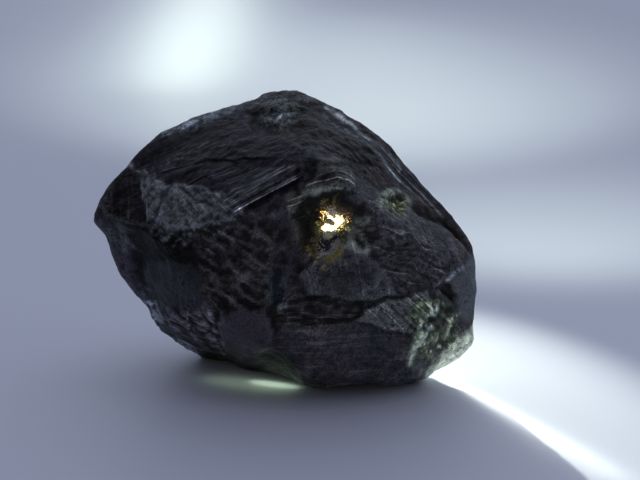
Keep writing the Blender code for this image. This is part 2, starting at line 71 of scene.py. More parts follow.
# The facets along the rim, clockwise from the left tip: a corner (u, v), then for the edge to the next
# corner the tilt of its front facet, the tilt of its back facet, and the edge's depth w.
RIM = [
    ((-40.4, 3.7), 42, 35, 0), ((-33.3, 15.3), 46, 28, -1), ((-26.4, 22.4), 40, 30, -2),
    ((-15.9, 26.9), 34, 40, -3), ((-4.5, 30.5), 30, 45, -3), ((2.6, 30.7), 30, 40, -2),
    ((10.8, 27.8), 30, 35, -1), ((22.9, 18.7), 32, 38, 0), ((37.3, 2.5), 26, 30, 1),
    ((40.4, -6.0), 20, 40, 3), ((39.5, -21.3), 38, 35, 3), ((29.7, -30.5), 16, 12.5, 8),
    ((5.2, -31.0), 20, 0, 8), ((-17.6, -25.6), 20, 20, -13), ((-26.4, -19.5), 24, 24, -7),
    ((-32.4, -10.4), 31, 24, -3), ((-37.0, -1.8), 33, 20, 0)]

# The other facets: a point (u, v) with the height of the stone over it, and how much that height grows for
# each millimetre to the right and up.
FRONT_FACETS = [
    ((-20, 18.5, 13.4), (0.46, -0.48)), ((-33, 7, 9.0), (1.00, -0.22)), ((-24.6, 11.3, 14.3), (0.49, 0.02)),
    ((-4, 18.5, 17.6), (0.06, -0.44)), ((12, 18.5, 17.6), (-0.28, -0.60)), ((-1, 28, 9.0), (0.0, -1.7)),
    ((24, 15, 8.8), (-1.2, -1.15)), ((27, 2, 15.8), (-0.62, -0.28)), ((26, -6, 16.8), (-0.48, 0.06)),
    ((12, -8, 21.3), (-0.05, -0.02)), ((22, -15, 16.8), (-0.35, 0.36)), ((31, -17, 11.0), (-0.95, 0.40)),
    ((34, -25, 5.0), (-1.2, 1.5)), ((10, -24, 16.8), (-0.02, 0.40)), ((-8, -20, 17.8), (0.22, 0.44)),
    ((-11, -6, 20.0), (0.18, 0.14)), ((-23, -10.6, 16.0), (0.50, 0.46)), ((3, -31, 10.5), (1.53, 2.33))]
BACK_FACETS = [
    ((2, 0, 21.6), (-0.05, -0.02)), ((0, 18, 19.0), (0.05, -0.62)), ((-20, 12, 17.3), (0.50, -0.30)),
    ((-32, 3, 11.5), (1.0, 0.05)), ((-20, -12, 19.6), (0.50, 0.36)), ((4, -20, 20.0), (-0.04, 0.55)),
    ((24, 10, 15.2), (-0.62, -0.45)), ((33, -8, 13.0), (-0.95, 0.05)), ((25, -20, 15.5), (-0.55, 0.70))]


def unit(vectors):
    """Each vector divided by its length."""
    return vectors / np.linalg.norm(vectors, axis=-1)[..., None]


def box_grid(cells, box):
    """Directions to the points of a lattice on a box's surface, and the quads between them. Points that two
    sides share are merged, and each quad is turned to face outward."""
    points, quads, count = [], [], 0
    for axis in range(3):
        one, other = (k for k in range(3) if k != axis)
        a, b = np.meshgrid(np.arange(cells[one] + 1), np.arange(cells[other] + 1), indexing="ij")
        for end in (0, cells[axis]):
            side = np.full(a.shape + (3,), end)
            side[..., one], side[..., other] = a, b
            at = count + np.arange(a.size).reshape(a.shape)
            points.append(side.reshape(-1, 3))
            quads.append(np.stack([at[:-1, :-1], at[1:, :-1], at[1:, 1:], at[:-1, 1:]], -1).reshape(-1, 4))
            count += a.size
    points, merged = np.unique(np.concatenate(points), axis=0, return_inverse=True)
    quads = merged.reshape(-1)[np.concatenate(quads)]
    points = (2.0 * points / cells - 1.0) * box
    corner = points[quads]
    facing = np.cross(corner[:, 2] - corner[:, 0], corner[:, 3] - corner[:, 1])
    inward = (facing * corner.mean(axis=1)).sum(axis=1) < 0
    quads[inward] = quads[inward][:, ::-1]
    return unit(points), quads


def facet_planes():
    """Outward normals of all facets, and how far each facet's plane lies from the stone's middle."""
    normals, distances = [], []
    for side, facets in ((1, FRONT_FACETS), (-1, BACK_FACETS)):
        for point, (to_right, up) in facets:
            normal = unit(np.array([-to_right, -up, 1.0]))
            normals.append(normal * (1, 1, side))
            distances.append(normal @ np.array(point))
    for (corner, front_tilt, back_tilt, depth), following in zip(RIM, RIM[1:] + RIM[:1]):
        edge = unit(np.array(following[0]) - np.array(corner))
        for side, tilt in ((1, front_tilt), (-1, back_tilt)):
            flat, deep = np.cos(np.radians(tilt)), side * np.sin(np.radians(tilt))
            normal = np.array([-edge[1] * flat, edge[0] * flat, deep])
            normals.append(normal)
            distances.append(normal @ np.array([corner[0], corner[1], depth]))
    return np.array(normals), np.array(distances)


def rounded_hull(directions):
    """How far the facets let each direction reach: a high power of each facet's share is summed, which
    rounds the edges, and the root of the sum is the reach. Also the outward normal there."""
    total = np.zeros(len(directions))
    gradient = np.zeros((len(directions), 3))
    for normal, distance in zip(*facet_planes()):
        share = np.maximum(directions @ normal / distance, 0.0)
        total += share ** SHARPNESS
        gradient += (share ** (SHARPNESS - 1) / distance)[:, None] * normal
    return total ** (-1 / SHARPNESS), unit(gradient)


def outline_reach(angles):
    """How far the outline reaches at each angle: where a ray from the middle crosses the outline's sides."""
    across, up = np.cos(angles), np.sin(angles)
    reach = np.zeros(len(angles))
    for start, end in zip(np.array(OUTLINE), np.roll(OUTLINE, -1, axis=0)):
        side = end - start
        facing = across * side[1] - up * side[0]
        facing = np.where(np.abs(facing) < 1e-9, 1e-9, facing)
        distance = (start[0] * side[1] - start[1] * side[0]) / facing
        along = (across * distance - start[0]) * side[0] + (up * distance - start[1]) * side[1]
        along /= side @ side
        hit = (distance > 0) & (along > -1e-9) & (along < 1 + 1e-9)
        reach = np.where(hit, np.maximum(reach, distance), reach)
    return reach


def outline_gain(directions):
    """What each reach is multiplied by so that the rim meets the outline: the outline's reach over the
    facets' own as seen from SIGHT, fading to 1 with a power of the cosine away from the widest point."""
    angles = np.radians(np.arange(-180, 180.25, 0.5))
    tilts = np.radians(np.arange(-40, 41))
    fan = np.stack([np.cos(angles)[:, None] * np.cos(tilts), np.sin(angles)[:, None] * np.cos(tilts),
                    np.sin(tilts) + 0 * angles[:, None]], -1)
    reach = rounded_hull(fan.reshape(-1, 3))[0].reshape(fan.shape[:2])
    seen = reach * np.cos(tilts) / (1 - reach * np.sin(tilts) / SIGHT)
    gain = (outline_reach(angles) / seen.max(axis=1))[:-1]
    widest = tilts[seen.argmax(axis=1)][:-1]
    shifts = range(-RIM_SMOOTHING, RIM_SMOOTHING + 1)
    gain, widest = (sum(np.roll(row, shift) for shift in shifts) / len(shifts) for row in (gain, widest))
    turn = np.arctan2(directions[:, 1], directions[:, 0])
    gain, widest = (np.interp(turn, angles, np.append(row, row[0])) for row in (gain, widest))
    return 1 + (gain - 1) * np.cos(np.arcsin(directions[:, 2]) - widest) ** RIM_FADE


directions, quads = box_grid(CELLS, BOX)
hull_reach, hull_normals = rounded_hull(directions)
body = directions * (hull_reach * outline_gain(directions))[:, None]

# ----------------------------------------
# The skin that covers the whole stone
# Diamond is clear, but this one is packed with tiny dark inclusions, so its skin is near black. Broad
# shell-like chips and low waves run over it, and hot fluid has etched it to a dull satin with a fine grain.
# ----------------------------------------
BROAD_CHIP = (10.0, 8.0, 10.0)  # mm, the size of the chips on the front
BROAD_CHIP_HEIGHT = 1.3
WAVE, WAVE_HEIGHT = 17.0, 0.5
ARCH_HEIGHT = 0.7               # of the hollow under the stone, between the foot and the toe
NIBBLE, NIBBLE_HEIGHT = 3.0, 0.28   # mm, the small chips that eat into the broad ones here and there
WARPS = ((6.0, 0.9), (2.1, 0.45))   # mm, size and strength of the wander in the edges of patches
SKIN_GRAIN, SKIN_GRAIN_HEIGHT = 1.5, 0.16
LINE_LENGTH = 26.0              # mm, about how far a growth line runs before it breaks off


def rise(x, low, high):
    """0 below low, 1 above high, and a smooth cubic rise between."""
    t = np.clip((x - low) / (high - low), 0.0, 1.0)
    return t * t * (3.0 - 2.0 * t)


def hashed(cells, seed):
    """A number from 0 to 1 for each integer cell: its coordinates are multiplied by primes and mixed."""
    mask = 0xFFFFFFFF
    n = np.full(cells.shape[:-1], seed * 374761393 & mask, np.int64)
    for axis, prime in zip(range(cells.shape[-1]), (668265263, 2246822519, 3266489917)):
        n = ((n ^ (cells[..., axis] * prime & mask)) * 1274126177) & mask
        n ^= n >> 15
    n = ((n & 0x7FFFFFFF) * 1597334677) & mask
    n ^= n >> 13
    return (n & 0xFFFFFF) / 0xFFFFFF


def noise(points, seed):
    """Smooth noise from -1 to 1: a random value at each lattice point, blended between them."""
    cell = np.floor(points).astype(np.int64)
    t = points - cell
    t = t * t * t * (t * (t * 6.0 - 15.0) + 10.0)
    total = 0.0
    for corner in np.ndindex((2,) * points.shape[-1]):
        weight = np.prod(np.where(np.array(corner) == 1, t, 1.0 - t), axis=-1)
        total = total + weight * hashed(cell + np.array(corner), seed)
    return 2.0 * total - 1.0


def rough_noise(points, size, octaves, seed):
    """Noise summed over sizes that halve, each turned against the last, from about -1 to 1."""
    turn = np.array([[0.36, 0.48, -0.8], [-0.8, 0.6, 0.0], [0.48, 0.64, 0.6]])
    total, strength, q = 0.0, 1.0, points / size
    for octave in range(octaves):
        total = total + strength * noise(q, seed + octave)
        q = 2.03 * q @ turn + 11.3
        strength *= 0.5
    return total / (2.0 - 0.5 ** (octaves - 1))


def chips(points, bowl, slope, seed):
    """Shell-like chips: the lowest of the bowls round scattered points, each leaning its own way."""
    cell = np.floor(points).astype(np.int64)
    axes = range(points.shape[-1])
    lowest = np.full(len(points), np.inf)
    for corner in np.ndindex((3,) * points.shape[-1]):
        near = cell + np.array(corner) - 1
        seat = near + np.stack([hashed(near, seed + 10 * k) for k in axes], -1)
        lean = 2.0 * np.stack([hashed(near, seed + 101 + 10 * k) for k in axes], -1) - 1.0
        away = points - seat
        height = bowl * (away * away).sum(-1) + slope * (lean * away).sum(-1)
        lowest = np.minimum(lowest, height + 0.35 * hashed(near, seed + 77))
    return lowest


def linear(colour):
    """The linear values of an sRGB hex colour."""
    value = np.array([int(colour[k:k + 2], 16) for k in (1, 3, 5)]) / 255
    return np.where(value <= 0.04045, value / 12.92, ((value + 0.055) / 1.055) ** 2.4)


w = body[:, 2]
front = rise(w, -3, 4)
back = rise(-w, -2, 6)
facing = rise(w, -5, 0)      # the colours reach a little further round the rim than the relief
u, v = body[:, 0], body[:, 1]
for number, (size, strength) in enumerate(WARPS):
    u = u + strength * noise(body / size, 201 + number)
    v = v + strength * noise(body / size, 203 + number)
bent = np.stack([u, v, w], -1)
front_height = BROAD_CHIP_HEIGHT * (chips(bent / BROAD_CHIP, 0.45, 0.75, 7) - 0.4)
arch = rise(u, -9, -4) * rise(-u, -5, 2) * rise(-v, 18, 27)
nibbled = rise(rough_noise(body, 7.0, 2, 311), -0.1, 0.3)
height = WAVE_HEIGHT * rough_noise(body, WAVE, 3, 3) - ARCH_HEIGHT * arch
height += SKIN_GRAIN_HEIGHT * rough_noise(body, SKIN_GRAIN, 2, 5)
height += NIBBLE_HEIGHT * nibbled * (chips(bent / NIBBLE, 0.9, 0.7, 313) - 0.3)

# What the surface is at each point: red, green, blue, roughness, and how clear it is. Lines are where across
# and along them a point lies, counted in spacings and lengths, and how deep they are. Grain is how deep the
# etching is.
skin = np.tile([*linear("#302f34"), 0.46, 0.0], (len(body), 1))
lines = np.zeros((len(body), 3))
crossing = np.zeros(len(body))
grain = 0.4 + 0.4 * rise(rough_noise(body, 6.0, 2, 315), -0.1, 0.4)
mottle = rough_noise(body, 9.0, 3, 301)
fleck = rough_noise(body, 2.2, 3, 305)
speck = rough_noise(body, 1.1, 2, 309)


def coat(share, colour, roughness, clear=0.0):
    """Lay a colour, roughness and clearness over the skin, by a share from 0 to 1 at each point."""
    share = np.clip(share, 0, 1)[:, None]
    skin[:] = skin * (1 - share) + np.array([*linear(colour), roughness, clear]) * share


def tone(share, *look):
    """Lay a coat over the front alone, and a little way round the rim."""
    coat(facing * share, *look)


def rule(share, across, along, spacing, depth=1.0, length=LINE_LENGTH):
    """Draw lines a spacing apart over a patch, each about a length long, all in mm. Where patches meet the
    deeper lines win, and both fade at the border, because there the count of the lines jumps."""
    deep = share * depth
    won = deep > lines[:, 2]
    crossing[:] = np.maximum(crossing, np.minimum(deep, lines[:, 2]))
    lines[won] = np.stack([across / spacing, along / length, deep], -1)[won]


coat(0.7 * rise(mottle, 0.0, 0.4), "#36383c", 0.40)          # slate
coat(0.7 * rise(-mottle, 0.0, 0.4), "#352d28", 0.52)         # brown
coat(0.6 * rise(fleck, 0.15, 0.5), "#47464a", 0.48)          # dull specks
coat(0.6 * rise(-fleck, 0.15, 0.5), "#1b1a1c", 0.44)         # dark flecks

# ----------------------------------------
# Upper left: the striated shoulder and the left tip
# The edges of the crystal's growth layers, laid bare where it dissolved. They are thin straight steps in
# dark satin, and the edge of each one catches the light as a fine line, which is also painted in as pale
# lines.
# ----------------------------------------
STRIAE_RISE, CRISP_RISE = 23.5, 28.0        # degrees that the two groups of layers rise to the right
LAYER_STEP, CRISP_STEP, TIP_STEP = 2.3, 1.35, 1.25          # mm between layers
LAYER_HEIGHT, CRISP_HEIGHT, TIP_HEIGHT = 0.35, 0.4, 0.4     # mm
FAN_START = (-33.5, 12.3)                   # (u, v) where the fine lines of the shoulder's fan would meet


def layers(across, along, step, seed, riser=0.25):
    """Growth layers: long treads that sink slowly and risers that lift them back, each its own height."""
    count = across / step + 0.45 * noise(np.stack([0.45 * across / step, along / 45.0], -1), seed)
    number = np.floor(count)
    part = count - number
    tall = 0.25 + 0.75 * hashed(number[:, None].astype(np.int64), seed + 5)
    run = 0.55 + 0.45 * noise(np.stack([along / 9.0, 7.31 * number], -1), seed + 9)
    return (rise(part, 1.0 - riser, 1.0) - part) * tall * run


def patch(corners, soft):
    """1 inside the convex patch with these corners (u, v), falling to 0 across its soft edge: a smooth
    step of the distance to the nearest side."""
    c = np.array(corners, float)
    turning = np.sum(c[:, 0] * np.roll(c[:, 1], -1) - np.roll(c[:, 0], -1) * c[:, 1])
    c = c if turning > 0 else c[::-1]
    inside = np.full(len(u), np.inf)
    for start, end in zip(c, np.roll(c, -1, axis=0)):
        side = (end - start) / np.linalg.norm(end - start)
        inside = np.minimum(inside, (v - start[1]) * side[0] - (u - start[0]) * side[1])
    return rise(inside, -soft / 2, soft / 2)


def turned(degrees):
    """The distance along a direction that rises to the right by this angle, and the distance across it."""
    angle = np.radians(degrees)
    return (body[:, 0] * np.cos(angle) + body[:, 1] * np.sin(angle),
            body[:, 1] * np.cos(angle) - body[:, 0] * np.sin(angle))


def seam(points, width):
    """1 on the line through these points (u, v), falling off to both sides as a bell of this width."""
    nearest = np.full(len(u), np.inf)
    for start, end in zip(np.array(points[:-1], float), np.array(points[1:], float)):
        side = end - start
        share = np.clip(((u - start[0]) * side[0] + (v - start[1]) * side[1]) / (side @ side), 0, 1)
        beside = np.hypot(u - start[0] - share * side[0], v - start[1] - share * side[1])
        nearest = np.minimum(nearest, beside)
    return np.exp(-(nearest / width) ** 2)


upper_plane = patch([(-12.5, 23.7), (-9.4, 24.6), (3, 18.7), (2.5, 15.5), (-9.4, 15), (-11.5, 18.5)], 1.0)
along, across = turned(STRIAE_RISE)
shoulder = patch([(-34, 14.5), (-24.6, 11), (-12, 10), (3, 9), (3, 14), (-10, 24), (-14, 28), (-34, 22)], 1.5)
shoulder *= 1 - upper_plane
front_height += shoulder * LAYER_HEIGHT * layers(across, along, LAYER_STEP, 21)
from_start = np.hypot(body[:, 0] - FAN_START[0], body[:, 1] - FAN_START[1])
fan_turn = np.arctan2(body[:, 1] - FAN_START[1], body[:, 0] - FAN_START[0])
in_fan = rise(fan_turn, 0.12, 0.22) * rise(-fan_turn, -0.62, -0.42)
in_fan *= shoulder * rise(from_start, 3, 6) * rise(-from_start, -24, -20)
front_height += 0.22 * in_fan * layers(22 * fan_turn, from_start, 1.25, 22, 0.35)
along_crisp, across_crisp = turned(CRISP_RISE)
crisp = patch([(-9, 4.5), (3, 10.5), (3, 14.5), (-13, 9.5)], 1.0)
front_height += crisp * CRISP_HEIGHT * layers(across_crisp, along_crisp, CRISP_STEP, 23)
tip = patch([(-37, 15), (-29.6, 14), (-29.3, 4.5), (-37, 4)], 1.5)
front_height += tip * TIP_HEIGHT * layers(body[:, 0], body[:, 1], TIP_STEP, 41)
rim_strip = patch([(-27, 22.5), (-16, 27.2), (-7, 29.8), (-6, 28.0), (-15, 24.8), (-24, 21.0)], 1.2)

rule(front * shoulder, across, along, 0.8, 0.8)
rule(front * in_fan, 22 * fan_turn, from_start, 0.7, 2.0, 60.0)
rule(front * crisp, across_crisp, along_crisp, 0.6, 1.3, 60.0)
rule(front * tip, body[:, 0], body[:, 1], 0.7, 0.9)
tone(shoulder, "#25242a", 0.42)
tone(0.7 * shoulder * rise(fleck, 0.0, 0.5), "#393840", 0.5)
tone(0.6 * shoulder * rise(-mottle, 0.0, 0.4), "#1f1b1a", 0.45)
tone(0.9 * crisp, "#100e13", 0.36)
tone(0.5 * shoulder * rise(v, 13, 20), "#191614", 0.45)
tone(tip, "#1d1a1b", 0.42)
tone(0.7 * rim_strip * rise(speck, -0.4, 0.1), "#6d7880", 0.42)
# Painted highlights: fine pale lines painted along layer edges on the crisp patch and the shoulder, as the
# glints they catch.
for *ends, share in ((-9.6, 6.5, 1.9, 12.6, 0.4), (-10.3, 7.8, 1.3, 13.9, 0.45),
                     (-11.4, 9.0, -1.2, 14.5, 0.4), (-9.4, 5.8, 2.1, 12.1, 0.6), (-9.8, 7.3, 1.7, 13.1, 0.6),
                     (-10.8, 8.3, 1.0, 14.8, 0.5), (-11.9, 9.8, -3.1, 14.4, 0.4),
                     (-29.2, 14.0, -12.7, 19.8, 0.5), (-28.7, 14.2, -16.2, 20.6, 0.4)):
    tone(share * seam([ends[:2], ends[2:]], 0.25), "#737479", 0.4)
grain *= 1 - 0.4 * np.maximum(shoulder, crisp)

# ----------------------------------------
# Left: the frosted face and the dark valley below it
# A face that hot fluid has etched, so that it is covered with fine grain and scatters light: pale grey
# satin. Below it the surface sinks into a shallow valley, painted near-black olive brown: partly its own
# olive tone, partly painted shade in the recess.
# ----------------------------------------
VALLEY_SLOPE = 0.10         # how fast the valley sinks, for each millimetre down
VALLEY_TOP = 11.5           # the height v at which it starts
VALLEY_END = (-11.5, -4.5)  # the heights v between which it rises back to the facet below it
FROST_STEP = 1.1            # mm between the streaks that run down the frosted face to the right

sink = VALLEY_SLOPE * np.maximum(VALLEY_TOP - v, 0) * rise(v, *VALLEY_END)
front_height -= sink * rise(u, -34.5, -30.5) * rise(-u, 9, 17 - 0.3 * (v - 3))
frosted_flat = patch([(-30, 13.5), (-24.6, 11), (-13, 10.2), (-8.3, 4.8), (-12.5, 3.6), (-18.5, 1.2),
                      (-29.5, 4.6)], 1.2)
frosted_wedge = patch([(-30.8, 16), (-29.3, 15), (-24.6, 11.4), (-26, 9), (-30, 9)], 0.8)
frosted_low = patch([(-29.5, 5.5), (-16, 3.5), (-16.5, 1.5), (-22, -0.9), (-28, 0.2)], 1.2)
frosted_low *= rise(fleck + 0.5 * speck, -0.35 - 0.12 * (v - 1), 0.15 - 0.12 * (v - 1))
frosted_right = patch([(-24.6, 11.2), (-13, 10.4), (-8.3, 4.8), (-12.5, 3.6), (-22, 4)], 1.0)
frosted = np.maximum.reduce([frosted_flat, frosted_wedge, frosted_low, frosted_right])
front_height += 0.35 * frosted_flat + 0.22 * frosted * rough_noise(body, 1.4, 3, 31)
streaks_along, streaks_across = turned(-48)
streaked = patch([(-18, 10.6), (-12.5, 10.6), (-8.5, 4.8), (-14, 3)], 1.5)
front_height += 0.4 * streaked * layers(streaks_across, streaks_along, FROST_STEP, 33)
valley = patch([(-35.5, 6.5), (-30, 5), (-18.5, 1.5), (-16.8, -2.3), (-20.8, -5), (-29.8, -6.6),
                (-32.8, -2)], 1.2)
front_height += 0.25 * valley * layers(turned(-38)[1], u, 1.3, 43)
left_rim = patch([(-41, 6), (-38, 6), (-34, -1.5), (-31, -7), (-24, -15), (-27, -20), (-41, -4)], 1.6)
smooth_facet = patch([(-30, -6.5), (-20.8, -5.3), (-16.5, -8), (-18, -12.5), (-23, -14.5), (-28, -11)], 1.4)

rule(front * np.maximum(frosted_flat, frosted_right), streaks_across, streaks_along, 0.8, 0.15, 14.0)
tone(0.8 * left_rim, "#2d2a33", 0.48)
# Painted shade: the valley is painted near black, deeper than its olive-brown tone, as the shade in the
# recess.
tone(valley, "#0d0c09", 0.42)
tone(0.5 * valley * rise(speck, 0.1, 0.5), "#35342e", 0.5)
tone(0.9 * frosted * rise(u + 1.2 * fleck, -31.5, -24), "#626468", 0.62)
tone(0.45 * frosted * rise(mottle + 0.6 * fleck, -0.4, 0.4), "#4d4f54", 0.58)
tone(0.25 * frosted * rise(speck, 0.1, 0.6), "#85898e", 0.62)
tone(0.6 * frosted * rise(u + 0.3 * v, -21, -10), "#434447", 0.5)
tone(smooth_facet, "#343539", 0.46)
# Painted highlight: a pale line painted along the crest above the frosted face.
tone(0.5 * seam([(-33.3, 15.8), (-28.7, 14), (-24.6, 11), (-16.7, 10.8), (-10, 8.1), (-8.1, 4.8)], 0.3),
     "#9a9da0", 0.5)
grain = np.maximum(np.minimum(grain, 1 - 0.65 * frosted), 0.35 * frosted)

# ----------------------------------------
# Lower left: the hackly middle, the lumps, the lobe and the bright pieces of the rim
# Where the crystal broke across its layers the surface is splintery. Below it are rounded, half dissolved
# lumps, painted paler on their tops and darker between them as light and shade, and a smooth violet-grey
# lobe. At the rim some thin pieces are nearly clear.
# ----------------------------------------
slivers_along, slivers_across = turned(-32)
hackly = patch([(-20, 1), (-10, 3.5), (-3, 1.5), (-3, -13), (-14, -14.5), (-17.5, -10)], 2.0)
slivers = chips(np.stack([slivers_along / 5.5, slivers_across / 1.7], -1), 0.75, 0.5, 51) - 0.3
fine_slivers = chips(np.stack([slivers_along / 2.6, slivers_across / 1.0], -1), 0.8, 0.6, 53) - 0.3
front_height += hackly * (0.9 * slivers + 0.35 * fine_slivers + 0.4 * rough_noise(body, 2.5, 3, 52))
lumps = patch([(-23, -14.5), (-12, -14.5), (-11.5, -23), (-17, -27), (-23, -23), (-26, -18)], 2.0)
pebbles = chips(bent / 3.2, 0.9, 0.4, 61)
front_height += lumps * (0.8 - 1.1 * pebbles + 0.3 * rough_noise(body, 1.5, 2, 62))
lobe = patch([(-12, -15.5), (-8, -14.0), (-4, -14.8), (-2.5, -19), (-4, -26), (-9, -27), (-12.5, -23)], 2.4)
front_height += 1.3 * lobe
rim_bright = np.maximum(patch([(-29.5, -12.5), (-26.8, -12.8), (-26.2, -17.5), (-29, -17.5)], 1.0),
                        patch([(-23, -21.5), (-18.5, -23.2), (-17.5, -25.8), (-23.5, -23.5)], 1.0))
toe = patch([(-18.7, -23.8), (-11.5, -25.2), (-11, -27.5), (-19, -26)], 1.2)

rule(front * hackly, slivers_across, slivers_along, 0.85, 0.2, 8.0)
tone(hackly, "#3a3838", 0.42)
tone(0.35 * hackly * rise(slivers, 0.15, 0.5), "#5a5b5f", 0.5)
tone(0.4 * hackly * rise(fine_slivers, 0.2, 0.6), "#626368", 0.5)
tone(0.4 * hackly * rise(-fleck, 0.0, 0.5), "#1a191b", 0.42)
tone(lumps, "#37363b", 0.5)
# Painted light and shade: the lumps' raised tops are painted paler and the hollows between them near black.
tone(0.6 * lumps * rise(-pebbles, -0.4, -0.1), "#68666c", 0.5)
tone(0.5 * lumps * rise(speck, 0.1, 0.5), "#77767b", 0.5)
tone(0.7 * lumps * rise(pebbles, 0.5, 0.75), "#1c1a1d", 0.42)
tone(lobe, "#47434c", 0.42)
coat(0.8 * rim_bright * rise(speck, -0.3, 0.1), "#9ba7b0", 0.4, 0.3)
coat(0.9 * toe, "#24251a", 0.4)

# ----------------------------------------
# Centre: the hollow with its clear window, the plane below it and the broken band
# In the hollow the crystal has no inclusions right through to its back, so light from behind shines
# through a small window. The flaws at the window's edge split it into gold and amber sparks.
# ----------------------------------------
WINDOW = ((8.6, -1.6), (10.4, 4.6))     # (u, v) of the two ends of the window's middle line
WINDOW_WIDTH = 1.7                      # mm to each side of it

hollow = patch([(3.2, 9), (9.5, 9.6), (15.5, 6.3), (18, 1), (14.5, -1), (8, -2.8), (4, -0.5), (2.3, 5)], 5.0)
front_height -= 1.8 * hollow
ring = np.hypot((u - 9.5) / 9.0, (v - 1.0) / 9.5)
hollow_rim = np.exp(-((ring - 1.0) * 9) ** 2) * rise(v, 3, 8) * rise(-u, -14, -8)
front_height += 0.6 * hollow_rim
hollow_steps = patch([(0.5, 9), (4.2, 9), (4.8, 0.5), (1.5, 0)], 1.4)
front_height += 0.4 * hollow_steps * layers(v - 0.25 * u, u, 1.5, 81, 0.4)
plane = patch([(12.5, 0.2), (15.5, -2.5), (22, -10.5), (18, -12), (4, -11.5), (2.5, -7)], 1.2)
front_height += plane * (0.4 + 0.16 * rough_noise(body, 3, 2, 75))
band = patch([(-2, -12.5), (8, -12), (16, -12), (17, -17), (6, -17.5), (-3, -18.5)], 1.6)
splinters = chips(np.stack([u / 3.4, v / 1.5], -1), 0.8, 0.5, 73) - 0.5
front_height += band * (0.7 * splinters - 0.2)
fold = np.exp(-(u + 1.6) ** 2) * rise(v, -14.5, -12.5) * rise(-v, 5, 8)
front_height -= 0.6 * fold
bottom = patch([(-6, -19.5), (6, -18.0), (16, -17.5), (24, -19.5), (29.5, -24), (30, -31), (3, -31),
                (-4, -28)], 2.0)
front_height += 0.12 * bottom * layers(v + 0.04 * u, u, 1.2, 71)
painted_underside_shade = patch([(-9, -25.5), (-3, -22.5), (1.5, -24.5), (3, -32), (-10, -32)], 2.0)
start, end = np.array(WINDOW)
line = (end - start) / np.linalg.norm(end - start)
reach_along = np.clip((u - start[0]) * line[0] + (v - start[1]) * line[1], 0, np.linalg.norm(end - start))
from_window = np.hypot(u - start[0] - reach_along * line[0], v - start[1] - reach_along * line[1])
from_window += 0.4 * fleck + 0.9 * speck
sparks = 1 - rise(from_window, WINDOW_WIDTH, WINDOW_WIDTH + 1.6)
through = 1 - rise(from_window, WINDOW_WIDTH - 1.6, WINDOW_WIDTH + 0.4)
scattered = rise(speck, 0.30, 0.45) * (1 - rise(from_window, WINDOW_WIDTH + 1.0, WINDOW_WIDTH + 4.5))
grey_clear = patch([(12.0, 5.0), (16.7, 4), (16, -3.0), (12, -1.8)], 2.0)

rule(front * hollow_steps, v - 0.25 * u, u, 0.8, 0.9)
rule(front * bottom, *turned(2)[::-1], 0.8, 0.2)
rule(front * plane, *turned(-78)[::-1], 0.8, 0.22)
rule(front * band, v, u, 0.8, 0.6)
tone(0.8 * plane, "#4a4b4f", 0.46)
tone(0.6 * plane * rise(fleck, 0.1, 0.5), "#333234", 0.5)
tone(0.5 * band, "#302e2a", 0.48)
tone(0.5 * band * rise(speck, 0.0, 0.5), "#4c4a48", 0.5)
tone(bottom, "#474549", 0.42)
tone(0.6 * bottom * rise(mottle + 0.8 * fleck, 0.0, 0.4), "#363a42", 0.42)
# Painted shade: the underside by the floor is painted near black.
coat(0.85 * painted_underside_shade, "#0c0c0f", 0.55)
tone(0.7 * hollow_steps, "#4a4a42", 0.48)
tone(0.8 * hollow_rim * rise(fleck, -0.3, 0.2), "#858b7d", 0.5)
tone(0.75 * fold, "#3b5254", 0.45)
tone(0.8 * np.exp(-((u + 0.6) ** 2 + (v + 14.0) ** 2) / 0.6), "#8f9a98", 0.5)
tone(0.8 * hollow, "#37352b", 0.42)

# ----------------------------------------
# Top: the lumpy cap, the hollow under it, the flat plane and the fan of terraces
# The cap is frosted in coarse lumps. The plane beside it is a clean violet-grey facet, and the fan is a
# stack of curved steps.
# ----------------------------------------
cap = patch([(-8, 32), (-7, 26), (-2, 22.5), (3, 24), (8, 31), (3, 33)], 2.0)
cap_lumps = chips(bent / 2.6, 0.9, 0.6, 91)
front_height += cap * (0.6 - 0.8 * cap_lumps + 0.3 * rough_noise(body, 1.2, 2, 92))
cap_hollow = patch([(-9, 26.8), (-1.5, 26.3), (-1, 21.8), (-5, 21.5)], 1.8)
front_height -= 0.8 * cap_hollow
front_height += 0.2 * upper_plane
fan = patch([(4.8, 10.8), (7.5, 16), (11, 17.2), (14.2, 13), (13.8, 10.2)], 1.4)
fan_out, fan_round = np.hypot(u - 9, v - 5), 9 * np.arctan2(u - 9, v - 5)
front_height += fan * (0.7 + 0.5 * layers(fan_out, fan_round, 1.5, 83, 0.4))
olive = patch([(2.5, 28), (8, 27), (8.5, 18), (2.5, 18)], 1.6)
front_height += olive * (0.3 * layers(u - 0.1 * v, v, 1.7, 95) + 0.25 * rough_noise(body, 2, 2, 96))

rule(front * fan, fan_out, fan_round, 0.9, 1.0)
rule(front * olive, u - 0.1 * v, v, 0.8, 0.9)
tone(upper_plane, "#14111a", 0.44)
tone(cap_hollow, "#1f1c20", 0.44)
tone(cap, "#383a39", 0.56)
# Painted shade: the hollows between the cap's lumps are painted darker.
tone(0.8 * cap * rise(cap_lumps, 0.3, 0.6), "#2b2b28", 0.5)
# Painted highlight: a pale speckled spot painted on the cap where it catches the light.
tone(0.7 * np.exp(-((u + 0.6) ** 2 + (v - 25.6) ** 2) / 2.6) * rise(speck, -0.2, 0.3), "#8fa0a4", 0.45)
tone(olive, "#15130c", 0.46)
tone(0.8 * fan, "#3d3d39", 0.5)
grain = np.maximum(grain, 0.9 * cap)

